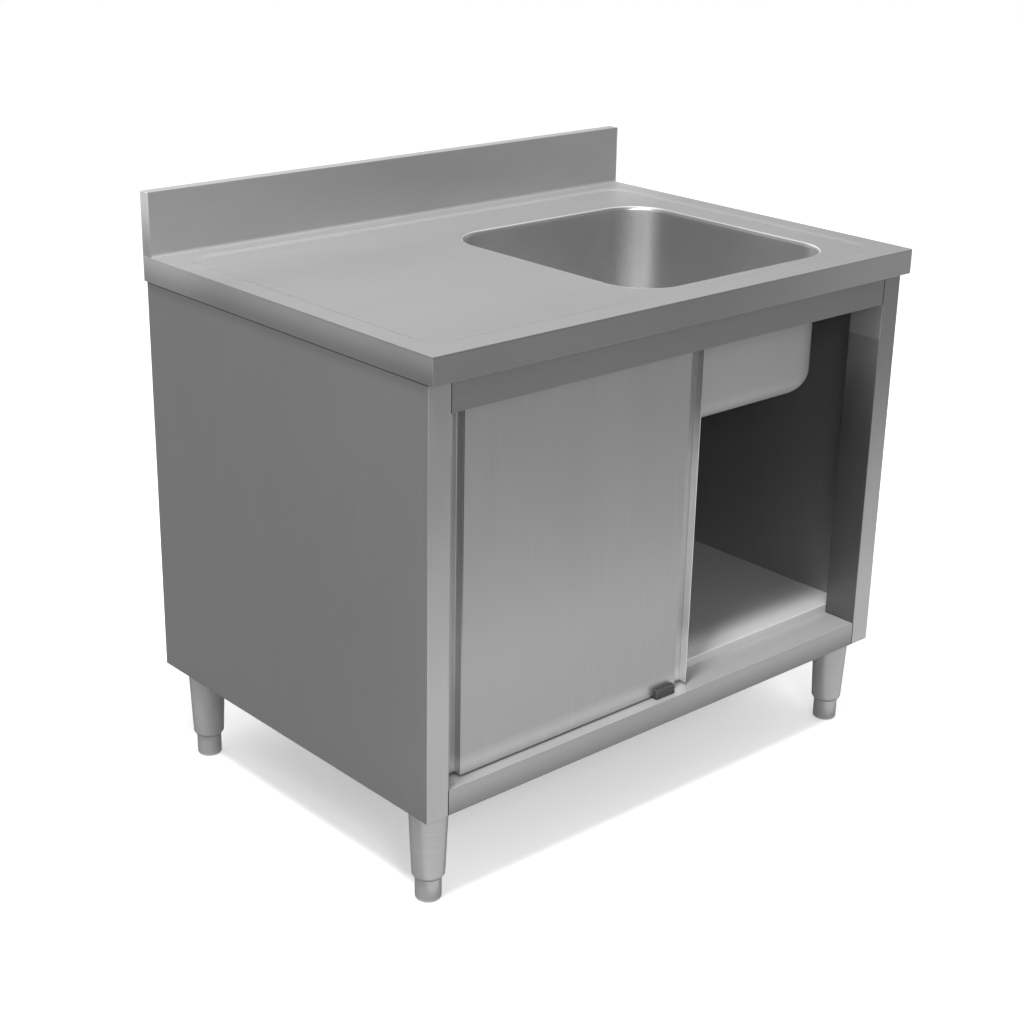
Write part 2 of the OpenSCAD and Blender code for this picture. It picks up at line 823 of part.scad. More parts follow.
// Leg: a tapered tube, chamfered round the mouth that its foot slides in
function leg_place(sx, sy) = [sx * (body_w / 2 - leg_inset_side),
    sy < 0 ? body_front + leg_inset_front : body_back - leg_inset_back, 0];
function leg_r(z) = leg_low_d / 2
    + (leg_top_d - leg_low_d) / 2 * (z - leg_shoulder) / (z_base - leg_shoulder);
module leg(sx, sy) {
    color("silver")
        translate(leg_place(sx, sy))
            rotate_extrude()
                polygon([[leg_top_d / 2, z_base], [leg_low_d / 2, leg_shoulder],
                    [mouth_r + leg_t, foot_show], [mouth_r, foot_show], [mouth_r, foot_show + leg_t],
                    [leg_low_d / 2 - leg_t, leg_shoulder + leg_t], [leg_top_d / 2 - leg_t, z_base]]);
}
module leg_bushes() {
    color("gray")
        for (sx = [-1, 1], sy = [-1, 1])
            translate(leg_place(sx, sy))
                rotate_extrude()
                    polygon([[stem_r + run_gap, bush_z],
                        [leg_r(bush_z) - leg_t - face_gap, bush_z],
                        [leg_r(bush_z + bush_h) - leg_t - face_gap, bush_z + bush_h],
                        [stem_r + run_gap, bush_z + bush_h]]);
}

// Foot: a round pad with a threaded stem, screwed up into the bush of its leg
module foot(sx, sy) {
    pad_r = foot_d / 2;
    edge_r = 4;
    color("gainsboro")
        translate(leg_place(sx, sy))
            rotate_extrude() {
                square([pad_r - edge_r, edge_r]);
                translate([pad_r - edge_r, edge_r])
                    intersection() {
                        circle(edge_r);
                        translate([0, -edge_r]) square(edge_r);
                    }
                translate([0, edge_r]) square([pad_r, foot_top - edge_r]);
                square([stem_r, stem_top]);
            }
}

worktop();
upstand_end_plates();
sink_bowl();
top_stiffeners();
waste_flange();
waste_strainer();
waste_strainer_screw();
waste_seal();
waste_lock_nut();
side_panel_left();
side_panel_right();
back_panel();
front_top_rail();
rear_top_rail();
door_track();
base_rail();
bottom_shelf();
shelf_stiffener();
frame_screws();
door_guide();
door_guide_screws();
at_front_door() door_skin();  // front_door_skin
at_front_door() door_liner();  // front_door_liner
at_front_door() door_stiffener();  // front_door_stiffener
at_front_door() door_hangers();  // front_door_hangers
at_front_door() door_hanger_screws();  // front_door_hanger_screws
at_front_door() door_axles();  // front_door_axles
at_roller(front_door_y, hanger_inset);  // front_roller_left
at_roller(front_door_y, door_w - hanger_inset);  // front_roller_right
at_rear_door() door_skin();  // rear_door_skin
at_rear_door() door_liner();  // rear_door_liner
at_rear_door() door_stiffener();  // rear_door_stiffener
at_rear_door() door_hangers();  // rear_door_hangers
at_rear_door() door_hanger_screws();  // rear_door_hanger_screws
at_rear_door() door_axles();  // rear_door_axles
at_roller(rear_door_y, hanger_inset);  // rear_roller_left
at_roller(rear_door_y, door_w - hanger_inset);  // rear_roller_right
leg_plates();
leg_plate_nuts();
leg_bushes();
leg(-1, -1);  // leg_front_left
leg(1, -1);  // leg_front_right
leg(-1, 1);  // leg_rear_left
leg(1, 1);  // leg_rear_right
foot(-1, -1);  // foot_front_left
foot(1, -1);  // foot_front_right
foot(-1, 1);  // foot_rear_left
foot(1, 1);  // foot_rear_right
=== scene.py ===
"""Stainless steel sink cabinet: the looks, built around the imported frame."""
import math

import bmesh
import bpy
from mathutils import Matrix, Vector


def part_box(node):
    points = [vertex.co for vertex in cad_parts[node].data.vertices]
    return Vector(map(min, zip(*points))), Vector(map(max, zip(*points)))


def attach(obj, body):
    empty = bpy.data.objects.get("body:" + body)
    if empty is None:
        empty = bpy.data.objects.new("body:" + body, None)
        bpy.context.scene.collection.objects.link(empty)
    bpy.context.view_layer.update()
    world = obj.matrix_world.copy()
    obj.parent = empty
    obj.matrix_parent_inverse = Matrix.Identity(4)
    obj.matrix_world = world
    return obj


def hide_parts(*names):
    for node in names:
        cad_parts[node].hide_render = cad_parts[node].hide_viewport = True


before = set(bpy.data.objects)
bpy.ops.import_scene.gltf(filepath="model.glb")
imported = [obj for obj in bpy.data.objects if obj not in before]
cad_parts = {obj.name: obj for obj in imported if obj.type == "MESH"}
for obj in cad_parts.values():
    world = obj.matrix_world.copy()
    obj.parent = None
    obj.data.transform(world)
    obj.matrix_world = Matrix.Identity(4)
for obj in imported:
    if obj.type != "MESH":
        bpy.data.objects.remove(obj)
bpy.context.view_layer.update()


# Feet: turned stainless pads with a rounded lower edge, each on a stem that screws up into
# its leg. Satin from the lathe, with fine lines round the foot.
class Value:
    """What comes out of a node. Sums, differences and products of it add Math nodes."""

    def __init__(self, nodes, socket):
        self.nodes = nodes
        self.socket = socket

    def math(self, operation, first, second):
        return self.nodes.node("ShaderNodeMath", {"operation": operation}, {0: first, 1: second})

    def __add__(self, other):
        return self.math("ADD", self, other)

    def __radd__(self, other):
        return self.math("ADD", other, self)

    def __sub__(self, other):
        return self.math("SUBTRACT", self, other)

    def __rsub__(self, other):
        return self.math("SUBTRACT", other, self)

    def __mul__(self, other):
        return self.math("MULTIPLY", self, other)

    def __rmul__(self, other):
        return self.math("MULTIPLY", other, self)

    def between(self, low, high):
        """Rises softly from 0 where the value is low to 1 where it is high."""
        return self.nodes.node("ShaderNodeMapRange", {"interpolation_type": "SMOOTHSTEP"},
                               {"Value": self, "From Min": low, "From Max": high})


class Nodes:
    """A tree that is put together node by node."""

    def __init__(self, tree):
        self.tree = tree

    def feed(self, socket, value):
        if isinstance(value, Value):
            self.tree.links.new(value.socket, socket)
        else:
            socket.default_value = value

    def node(self, kind, settings=None, inputs=None, output=0):
        made = self.tree.nodes.new(kind)
        for name, value in (settings or {}).items():
            setattr(made, name, value)
        for name, value in (inputs or {}).items():
            self.feed(made.inputs[name], value)
        return Value(self, made.outputs[output])

    def mix(self, share, low, high):
        """Mixes two colours. The numbers are the places of a colour Mix node's sockets."""
        return self.node("ShaderNodeMix", {"data_type": "RGBA"}, {0: share, 6: low, 7: high}, 2)

    def noise(self, place, scale, detail=2):
        """Noise about zero, with its own scale along each axis, in waves per metre."""
        mapped = self.node("ShaderNodeMapping", {}, {"Vector": place, "Scale": scale})
        return self.node("ShaderNodeTexNoise", {},
                         {"Vector": mapped, "Scale": 1, "Detail": detail}) - 0.5

    def place(self):
        return self.node("ShaderNodeTexCoord", output="Object")

    def folds(self, radius):
        """The normal rounded over the edges, and how far it turns there, from 0 to 1."""
        rounded = self.node("ShaderNodeBevel", {"samples": 4}, {"Radius": radius})
        flat = self.node("ShaderNodeNewGeometry", output="Normal")
        along = self.node("ShaderNodeVectorMath", {"operation": "DOT_PRODUCT"},
                          {0: rounded, 1: flat}, "Value")
        return rounded, (1 - along).between(0.02, 0.3)

    def ray(self, kind):
        return self.node("ShaderNodeLightPath", output=kind)


class Finish(Nodes):
    """The nodes of one material."""

    def __init__(self, name):
        self.material = bpy.data.materials.new(name)
        self.material.use_nodes = True
        super().__init__(self.material.node_tree)
        self.shader = self.tree.nodes["Principled BSDF"]

    def surface(self, **sockets):
        for name, value in sockets.items():
            self.feed(self.shader.inputs[name.replace("_", " ")], value)
        return self.material


def grey(level):
    return (level, level, level, 1)


# Waves per metre across the grain and along it
HAIRS = (900, 14)
LINES = (130, 3)
CLOUDS = (9, 3)
MARKS = (26, 26)


def brushed_steel(name, tone, grain, roughness=0.4, grain_depth=0.1, cloud=0.2, streak=0.1,
                  metal=0.85, fold_r=0.0012, wear_and_highlight=0.14, top_tone=None, top_metal=None,
                  shades=()):
    """Steel with its grain along the axes named, faint clouds, and folds made paler by wear
    and by a painted highlight.
    Its level faces may take another tone and metal than its upright ones: a softer shine, and
    a tone that paints in how light falls on them.
    Each shade is painted light (a factor above 1) or painted shade (below 1), with the limits
    of the place it lies in, as (axis, where it starts, where it is full)."""
    finish = Finish(name)
    place = finish.place()

    def grained(waves, detail):
        across, along = waves
        return finish.noise(place, [along if axis in grain else across for axis in "xyz"], detail)

    def split(vector, axis):
        return finish.node("ShaderNodeSeparateXYZ", {}, {"Vector": vector}, axis)

    hairs = grained(HAIRS, 2)
    lines = grained(LINES, 3)
    clouds = grained(CLOUDS, 3)
    marks = grained(MARKS, 4).between(0.16, 0.34)
    rounded, fold = finish.folds(fold_r)
    share = 0.5 + hairs * 0.4 + lines * streak + clouds * cloud + fold * wear_and_highlight - marks * 0.06
    if top_tone:
        level = split(finish.node("ShaderNodeNewGeometry", output="Normal"), "Z").between(0.55, 0.85)
        tone = tone + level * (top_tone - tone)
        metal = metal + level * (top_metal - metal)
    shaded = tone * (0.8 + share * 0.4)
    where = {"x": split(place, "X"), "y": split(place, "Y"), "z": split(place, "Z")}
    where["aside"] = finish.node("ShaderNodeMath", {"operation": "ABSOLUTE"}, {0: where["x"]})
    for factor, limits in shades:
        mask = 1
        for axis, outside, inside in limits:
            mask = where[axis].between(outside, inside) * mask
        shaded = shaded * (1 + mask * (factor - 1))
    relief = finish.node("ShaderNodeBump", {},
                         {"Strength": grain_depth, "Distance": 0.0005,
                          "Height": hairs + lines * 0.6, "Normal": rounded})
    rough = roughness + hairs * 0.12 + clouds * 0.12 + marks * 0.05 - fold * 0.08
    return finish.surface(Base_Color=finish.mix(shaded, grey(0), grey(1)), Metallic=metal,
                          Roughness=rough, Normal=relief)


def dress(nodes, material):
    """Gives CAD nodes their finish."""
    for name in nodes.split():
        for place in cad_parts[name].material_slots:
            place.material = material


foot_steel = brushed_steel("foot_satin", 0.38, "xy", roughness=0.32, grain_depth=0.15, metal=0.42)
dress("foot_front_left foot_front_right foot_rear_left foot_rear_right", foot_steel)


# Legs: tapered tubes of stainless sheet, chamfered round the mouth that the foot slides in.
# Brushed round, with a painted shadow in the joint where the foot comes out.
MOUTH_SHADOW = (0.45, [("z", 0.0396, 0.0388)])
leg_steel = brushed_steel("leg_brushed", 0.36, "xy", roughness=0.36, streak=0.2, metal=0.42,
                          shades=[MOUTH_SHADOW])
dress("leg_front_left leg_front_right leg_rear_left leg_rear_right", leg_steel)


# Weld beads round the tops of the legs, where these are welded to the plates above them.
# Laid in overlapping ripples with stainless wire, and left as welded.
LEG_TOP_R, LEG_TOP_Z = 0.030, 0.156
LEG_PLACES = ((-0.455, -0.290), (0.455, -0.290), (-0.455, 0.292), (0.455, 0.292))
BEAD_R = 0.0017
BEAD_SINK = 0.0014
BEAD_FLATNESS = 0.8
BEAD_RIPPLES, RIPPLE_DEPTH = 58, 0.14
BEAD_WAVES, WAVE_DEPTH = 5, 0.1
BEAD_STARTS = (0.2, 1.1, 2.3, 0.7)
BEAD_STEPS, BEAD_SIDES = BEAD_RIPPLES * 4, 10


def around(steps):
    """The angles of so many equal steps round a circle."""
    return [2 * math.pi * i / steps for i in range(steps)]


def seamed(bm, low, high):
    """Faces between two rings of points."""
    for i in range(len(low)):
        j = (i + 1) % len(low)
        bm.faces.new((low[i], low[j], high[j], high[i]))


def add_piece(name, bm, material, slot, body, *nodes):
    """Makes the piece, smooth over its curves, and lets it stand for its CAD nodes."""
    bmesh.ops.remove_doubles(bm, verts=bm.verts, dist=1e-6)
    bmesh.ops.recalc_face_normals(bm, faces=bm.faces)
    mesh = bpy.data.meshes.new(name)
    bm.to_mesh(mesh)
    bm.free()
    for face in mesh.polygons:
        face.use_smooth = True
    mesh.set_sharp_from_angle(angle=math.radians(38))
    piece = bpy.data.objects.new(name, mesh)
    bpy.context.scene.collection.objects.link(piece)
    mesh.materials.append(material)
    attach(piece, body)
    if nodes:
        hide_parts(*nodes)
    return piece


bm = bmesh.new()
for (x, y), start in zip(LEG_PLACES, BEAD_STARTS):
    rings = []
    for a in around(BEAD_STEPS):
        swell = (1 + RIPPLE_DEPTH * math.sin(BEAD_RIPPLES * a)
                 + WAVE_DEPTH * math.sin(BEAD_WAVES * a + start))
        ring = []
        for b in around(BEAD_SIDES):
            r = LEG_TOP_R + BEAD_R * swell * math.cos(b)
            ring.append(bm.verts.new((x + r * math.cos(a), y + r * math.sin(a),
                                      LEG_TOP_Z - BEAD_SINK + BEAD_R * BEAD_FLATNESS * math.sin(b))))
        rings.append(ring)
    for low, high in zip(rings, rings[1:] + rings[:1]):
        seamed(bm, low, high)
weld_steel = brushed_steel("weld_bead", 0.3, "", roughness=0.38, streak=0.3, metal=0.8)
add_piece("leg_weld_beads", bm, weld_steel, "leg_steel", "cabinet")


# Leg brackets: threaded bushes inside the legs, and square plates over them with their studs
# and nuts. Plain steel, hidden under the shelf.
bracket_steel = brushed_steel("bracket_plain", 0.3, "x", roughness=0.48)
dress("leg_bushes leg_plates leg_plate_nuts", bracket_steel)


# Side panels: each one stainless sheet, folded round into the box post in front.
# Brushed upright. The joints with the rails and the worktop are dark lines of painted shade.
RAIL_JOINT = ("aside", 0.4566, 0.4558)
POST_INSIDE = ("aside", 0.4562, 0.4556)
PANEL_INSIDE = [("aside", 0.4946, 0.4942), ("y", -0.272, -0.27)]
POST_FRONT = ("y", -0.3342, -0.3348)
RIGHT_POST = ("x", 0.44, 0.455)
# Painted shade: dark lines in the joints with the rails, and under the worktop's edge.
top_rail_joint = (0.12, [RAIL_JOINT, ("z", 0.7612, 0.7622)])
base_rail_joint = (0.12, [RAIL_JOINT, ("z", 0.1968, 0.1958)])
worktop_joint = (0.45, [("aside", 0.4945, 0.495), ("z", 0.8052, 0.8062)])
# Painted shade low and painted light high on the posts' inner faces; painted light low on the
# panels' inner faces.
post_inside_low = (0.6, [POST_INSIDE, ("z", 0.7, 0.52)])
post_inside_top = (1.4, [POST_INSIDE, ("z", 0.7, 0.706)])
panel_inside_low = (1.25, [*PANEL_INSIDE, ("z", 0.6, 0.25)])
# Painted light on the posts' fronts, most in their middle and low on the right post; painted shade
# high on the right post.
post_front = (1.32, [POST_FRONT])
post_front_middle = (1.15, [POST_FRONT, ("z", 0.68, 0.5), ("z", 0.18, 0.38)])
right_post_top = (0.74, [POST_FRONT, RIGHT_POST, ("z", 0.42, 0.74)])
right_post_low = (1.1, [POST_FRONT, RIGHT_POST, ("z", 0.36, 0.25)])
panel_steel = brushed_steel("panel_brushed", 0.3, "z", roughness=0.42, streak=0.04, cloud=0.1,
                            shades=[top_rail_joint, base_rail_joint, post_inside_low,
                                    post_inside_top, panel_inside_low, post_front,
                                    post_front_middle, right_post_top, right_post_low,
                                    worktop_joint])
dress("side_panel_left side_panel_right", panel_steel)


# Rails above and below the doors, folded from stainless strip that is brushed along its length.
# Screwed to the posts with end tabs that don't show. The sill is less metallic, with a paler
# tone that is painted light.
BASE_FRONT = [("z", 0.162, 0.192), ("z", 0.1959, 0.195)]
SILL = ("z", 0.1956, 0.1959)
# Painted light on the base rail's front, paler towards its top edge, and on the sill's right;
# painted shade on the sill's left and along the foot of the base rail.
base_upper = (1.27, BASE_FRONT)
base_upper_left = (1.1, [*BASE_FRONT, ("x", 0.0, -0.42)])
base_upper_right = (1.12, [*BASE_FRONT, ("x", -0.1, 0.2)])
sill_left = (0.9, [SILL, ("x", -0.05, -0.3)])
sill_right = (1.1, [SILL, ("x", 0.0, 0.25)])
base_foot = (0.85, [("z", 0.17, 0.158)])
rail_steel = brushed_steel("rail_brushed", 0.28, "x", roughness=0.42, fold_r=0.0006)
base_steel = brushed_steel("base_brushed", 0.25, "x", roughness=0.42, fold_r=0.0006,
                           top_tone=0.45, top_metal=0.3,
                           shades=[base_upper, base_upper_left, base_upper_right, sill_left,
                                   sill_right, base_foot])
dress("front_top_rail", rail_steel)
dress("base_rail", base_steel)


# Back panel, rear rail, and the channel under the shelf: plain cold rolled stainless sheet.
# Spot welded together, out of sight.
inner_steel = brushed_steel("inner_rolled", 0.42, "x", roughness=0.45, metal=0.7)
dress("back_panel rear_top_rail shelf_stiffener", inner_steel)


# Shelf: one stainless sheet with a folded front, raised above the sill.
# Brushed along its length and soft in its shine, with painted light in front where light comes in.
SHELF_FRONT = ("y", -0.194, -0.256)
shelf_front = (1.5, [SHELF_FRONT])
shelf_top_front = (1.53, [SHELF_FRONT, ("z", 0.209, 0.2105)])
shelf_steel = brushed_steel("shelf_brushed", 0.38, "x", roughness=0.5, metal=0.2,
                            shades=[shelf_front, shelf_top_front])
dress("bottom_shelf", shelf_steel)


# Door track: a double track behind the top rail, folded from plain stainless strip.
# Hung under the rail's flange.
dress("door_track", inner_steel)


# Frame screws: pan heads with a cross recess, one in each end tab of the top rail and of the
# base rail. Stainless, threaded under the head, and driven from inside the rails.
SCREW_R = 0.002
HEAD_R = 1.75 * SCREW_R
HEAD_H = 1.2 * SCREW_R
SCREW_L = 0.008
THREAD_PITCH = 0.0007
THREAD_DEPTH = 0.00028
TIP_L, TIP_SHARE = 0.0012, 0.55
HEAD_STEPS, HEAD_ROWS = 48, 14
THREAD_STEPS = HEAD_STEPS // 2
RECESS_REACH, RECESS_END = 0.62, 0.08
RECESS_WIDTH, RECESS_WALL = 0.16, 0.05
RECESS_DEPTH = 0.55


def spun(bm, profile, steps):
    """Turns a profile of (radius, height) round the z axis."""
    rings = [[bm.verts.new((r * math.cos(a), r * math.sin(a), z)) for a in around(steps)]
             if r > 0 else bm.verts.new((0, 0, z)) for r, z in profile]
    for low, high in zip(rings, rings[1:]):
        if isinstance(high, list):
            seamed(bm, low, high)
        else:
            for i in range(steps):
                bm.faces.new((low[i], low[(i + 1) % steps], high))


def threaded(bm, radius, z_from, z_to, pitch, depth, steps, rows=4):
    """A screw thread round the z axis: one surface whose height follows a helix."""
    count = max(2, round((z_to - z_from) / pitch * rows))
    rings = []
    for row in range(count + 1):
        z = z_from + (z_to - z_from) * row / count
        ends = min(1, row / rows, (count - row) / rows)
        ring = []
        for i, a in enumerate(around(steps)):
            phase = (z / pitch - i / steps) % 1
            r = radius - depth * ends * (1 - abs(2 * phase - 1)) - depth * (1 - ends)
            ring.append(bm.verts.new((r * math.cos(a), r * math.sin(a), z)))
        rings.append(ring)
    for low, high in zip(rings, rings[1:]):
        seamed(bm, low, high)


def cross_head(bm, radius, height, countersunk):
    """The top of a screw head, domed or flat, with a cross recess pressed into it."""
    rings = []
    for row in range(1, HEAD_ROWS + 1):
        share = row / HEAD_ROWS
        dome = 0 if countersunk else height * (1 - 0.55 * share ** 4 - 0.12 * share ** 2)
        wide = RECESS_WIDTH * radius * (1 - 0.5 * share)
        reach = max(0, min(1, (RECESS_REACH - share) / RECESS_END))
        ring = []
        for a in around(HEAD_STEPS):
            r = radius * share
            arm = min(abs(math.sin(a)), abs(math.cos(a))) * r
            inside = max(0, min(1, (wide - arm) / (RECESS_WALL * radius) + 0.5))
            depth = RECESS_DEPTH * height * inside * reach * (1 - 0.5 * share)
            ring.append(bm.verts.new((r * math.cos(a), r * math.sin(a), dome - depth)))
        rings.append(ring)
    floor = -RECESS_DEPTH * height if countersunk else height * (1 - RECESS_DEPTH)
    centre = bm.verts.new((0, 0, floor))
    for i in range(HEAD_STEPS):
        bm.faces.new((centre, rings[0][i], rings[0][(i + 1) % HEAD_STEPS]))
    for low, high in zip(rings, rings[1:]):
        seamed(bm, low, high)
    return rings[-1]


def screw_mesh(countersunk=False):
    """A screw that points down, with its head on z = 0."""
    bm = bmesh.new()
    core = SCREW_R - THREAD_DEPTH
    rim = cross_head(bm, 2 * SCREW_R if countersunk else HEAD_R, HEAD_H, countersunk)
    neck, neck_share = (-SCREW_R, 0.465) if countersunk else (0, 1)
    low = [bm.verts.new((v.co.x * neck_share, v.co.y * neck_share, neck)) for v in rim]
    turns = [a for a in around(THREAD_STEPS) for _ in (0, 1)]
    seat = [bm.verts.new((core * math.cos(a), core * math.sin(a), neck)) for a in turns]
    seamed(bm, low, rim)
    seamed(bm, seat, low)
    threaded(bm, SCREW_R, TIP_L - SCREW_L, neck, THREAD_PITCH, THREAD_DEPTH, THREAD_STEPS)
    spun(bm, [(core, TIP_L - SCREW_L), (core * TIP_SHARE, -SCREW_L), (0, -SCREW_L)], THREAD_STEPS)
    mesh = bpy.data.meshes.new("screw")
    bm.to_mesh(mesh)
    bm.free()
    return mesh


def place_screws(name, mesh, places, body, node):
    """Copies a screw to each place, given as a matrix, and joins the copies in one piece."""
    bm = bmesh.new()
    for place in places:
        copy = mesh.copy()
        copy.transform(place)
        bm.from_mesh(copy)
    return add_piece(name, bm, screw_steel, "fastener_steel", body, node)


screw_steel = brushed_steel("screw_plain", 0.42, "z", roughness=0.32)
pan_screw = screw_mesh()
frame_low, frame_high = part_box("frame_screws")
frame_places = []
for side in (-1, 1):
    for z in (frame_low.z + HEAD_R, frame_high.z - HEAD_R):
        spot = Matrix.Translation((side * (frame_high.x - SCREW_L),
                                   (frame_low.y + frame_high.y) / 2, z))
        frame_places.append(spot @ Matrix.Rotation(-side * math.pi / 2, 4, "Y"))
place_screws("frame_screw_set", pan_screw, frame_places, "cabinet", "frame_screws")


# Door guide: a block on the sill with walls before, between and behind the doors.
# Moulded in black plastic with a fine grain, and with a painted highlight along its edges.
guide = Finish("guide_moulded")
guide_place = guide.place()
guide_grain = guide.noise(guide_place, [1600] * 3, 2)
guide_wear = guide.noise(guide_place, [180] * 3, 3)
guide_rounded, guide_edge_highlight = guide.folds(0.0012)
guide_relief = guide.node("ShaderNodeBump", {}, {"Strength": 0.3, "Distance": 0.0002,
                                                "Height": guide_grain, "Normal": guide_rounded})
guide_colour = guide.mix(0.5 + guide_wear * 1.4, grey(0.022), grey(0.05))
# Painted highlight: the edges are mixed towards pale grey.
guide.surface(Base_Color=guide.mix(guide_edge_highlight, guide_colour, grey(0.3)),
              Roughness=0.5 + guide_wear * 0.3, Normal=guide_relief)
dress("door_guide", guide.material)


# Guide screws: two stainless flat heads that hold the guide to the sill.
# Sunk flush in the floor of the guide.
guide_low, guide_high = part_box("door_guide_screws")
guide_places = [Matrix.Translation((0, y, guide_high.z))
                for y in (guide_low.y + 2 * SCREW_R, guide_high.y - 2 * SCREW_R)]
place_screws("guide_screw_set", screw_mesh(countersunk=True), guide_places, "cabinet",
             "door_guide_screws")


# Doors: each a stainless skin folded to a finger pull along both upright edges, closed by a
# flat liner over a stiffening channel. Brushed upright, with a painted highlight on the folds.
PULL_W, PULL_DEPTH = 0.028, 0.014
SKIN_SHEET = 0.001
RIGHT_PULL = ("x", 0.0, 0.03)
for door in ("front_door", "rear_door"):
    skin_low, skin_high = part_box(door + "_skin")
    pull_y = skin_low.y + PULL_DEPTH
    wall_x = skin_low.x + PULL_W
    fold_x = skin_high.x - SKIN_SHEET
    pull_back = ("y", pull_y - 0.0009, pull_y - 0.0003)
    # Painted shade on the lower part, painted light along the bottom edge and on the pulls' floors,
    # most low down and at the right pull's foot, and a painted highlight on the right pull's fold;
    # painted shade in the right pull and on the left pull's wall.
    lower_part = (0.85, [("z", 0.42, 0.24)])
    lower_edge = (1.5, [("z", 0.235, 0.204)])
    both_pulls = (1.2, [pull_back])
    both_pulls_low = (1.2, [pull_back, ("z", 0.65, 0.45)])
    right_pull = (0.7, [pull_back, RIGHT_PULL])
    right_fold = (2.3, [("x", fold_x - 0.0015, fold_x - 0.0003),
                        ("x", fold_x + 0.0008, fold_x + 0.0004),
                        ("y", pull_y - 0.0003, pull_y - 0.0015), ("z", 0.7, 0.54)])
    right_foot = (1.3, [("y", pull_y - 0.0137, pull_y - 0.013), RIGHT_PULL, ("z", 0.31, 0.25)])
    left_wall = (0.25, [("x", wall_x - 0.0015, wall_x - 0.0005),
                        ("x", wall_x + 0.0018, wall_x + 0.0005),
                        ("y", pull_y - 0.001, pull_y - 0.0025), ("z", 0.34, 0.58)])
    door_steel = brushed_steel(door + "_brushed", 0.42, "z", roughness=0.4, grain_depth=0.14,
                               streak=0.05, wear_and_highlight=0.5,
                               shades=[lower_part, lower_edge, both_pulls, both_pulls_low,
                                       right_pull, right_fold, right_foot, left_wall])
    dress(f"{door}_skin {door}_liner", door_steel)
    dress(door + "_stiffener", inner_steel)


# Hangers on the doors' top edges, bent from plain steel, with the axles that carry the rollers.
# Each is held by two pan head screws.
SCREWS_APART = 0.024
dress("front_door_hangers rear_door_hangers", bracket_steel)
dress("front_door_axles rear_door_axles", screw_steel)
for door in ("front_door", "rear_door"):
    low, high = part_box(door + "_hanger_screws")
    places = []
    for x, inward in ((low.x + HEAD_R, SCREWS_APART), (high.x - HEAD_R, -SCREWS_APART)):
        for along in (0, inward):
            places.append(Matrix.Translation((x + along, (low.y + high.y) / 2, high.z - HEAD_H))
                          @ Matrix.Rotation(0.4 + 9 * x, 4, "Z"))
    place_screws(door + "_screw_set", pan_screw, places, door, door + "_hanger_screws")


# Rollers: turned from off-white nylon, with a groove that runs on the track's lip.
# Fine lathe lines lie round them.
nylon = Finish("roller_turned")
nylon_lines = nylon.noise(nylon.place(), [400, 2400, 400], 2)
nylon.surface(Base_Color=nylon.mix(0.5 + nylon_lines, (0.62, 0.6, 0.53, 1), (0.74, 0.72, 0.65, 1)),
              Roughness=0.42 + nylon_lines * 0.2)
dress("front_roller_left front_roller_right rear_roller_left rear_roller_right", nylon.material)


# Worktop: one stainless sheet with a pressed drip rim, folded edges and a folded upstand,
# on plain channels that stiffen the deck. Brushed along its length.
BELOW_UPSTAND = ("z", 0.8512, 0.8506)
DECK = [BELOW_UPSTAND, ("z", 0.8465, 0.8472)]
SIDE_EDGE = [("aside", 0.4994, 0.4998), ("z", 0.8508, 0.8502)]
# Painted light on the upstand, the deck's rear, the right of the front edge and high on the side
# edges; painted shade on the front strip, the deck's front and left, and the side edges' lower part.
upstand = (1.36, [("z", 0.851, 0.856)])
deck_rear = (1.42, [("y", 0.12, 0.31), BELOW_UPSTAND])
front_strip = (0.9, [("y", -0.1, -0.3), BELOW_UPSTAND])
front_edge_right = (1.5, [("x", 0.0, 0.5), ("y", -0.3488, -0.3496)])
deck_front = (0.94, [("y", 0.1, -0.1), *DECK])
deck_left = (0.95, [("x", 0.1, -0.25), ("y", 0.25, -0.05), *DECK])
side_edge = (0.87, SIDE_EDGE)
side_edge_top = (1.6, [*SIDE_EDGE, ("z", 0.811, 0.849)])
# Its level faces have their own tone, painted to how light falls on them, and are less metallic.
top_steel = brushed_steel("worktop_brushed", 0.31, "x", roughness=0.42, top_tone=0.25,
                          top_metal=0.35,
                          shades=[upstand, deck_rear, front_strip, front_edge_right,
                                  deck_front, deck_left, side_edge, side_edge_top])
dress("worktop", top_steel)
dress("top_stiffeners", inner_steel)


# End plates: small stainless plates that close the upstand at both ends.
# Welded in and ground, with painted shade that darkens them towards the bottom.
plate_steel = brushed_steel("end_plate_ground", 0.62, "z", roughness=0.5, metal=0.5,
                            shades=[(0.5, [("z", 0.94, 0.858)])])
dress("upstand_end_plates", plate_steel)


# Bowl: one deep drawing with a rolled rim, round corners and a recess for the waste.
# Polished stainless with a satin finish inside, plain outside, welded flush into the deck.
BOWL_AT = (0.180, -0.0493)
BOWL_SIZE = (0.440, 0.450)
BOWL_CORNER = 0.072
BOWL_FOOT = 0.040
BOWL_RIM = 0.006
BOWL_SHEET = 0.0012
DECK_Z = 0.8475
BOWL_Z = 0.6125
RECESS_Z = 0.6075
RECESS_FLOOR_R, RECESS_TOP_R, WASTE_HOLE_R = 0.040, 0.045, 0.026
CORNER_STEPS, SIDE_STEPS = 20, 8
RIM_STEPS, WALL_STEPS, FOOT_STEPS, FLOOR_STEPS = 8, 11, 16, 14
QUARTER = math.pi / 2


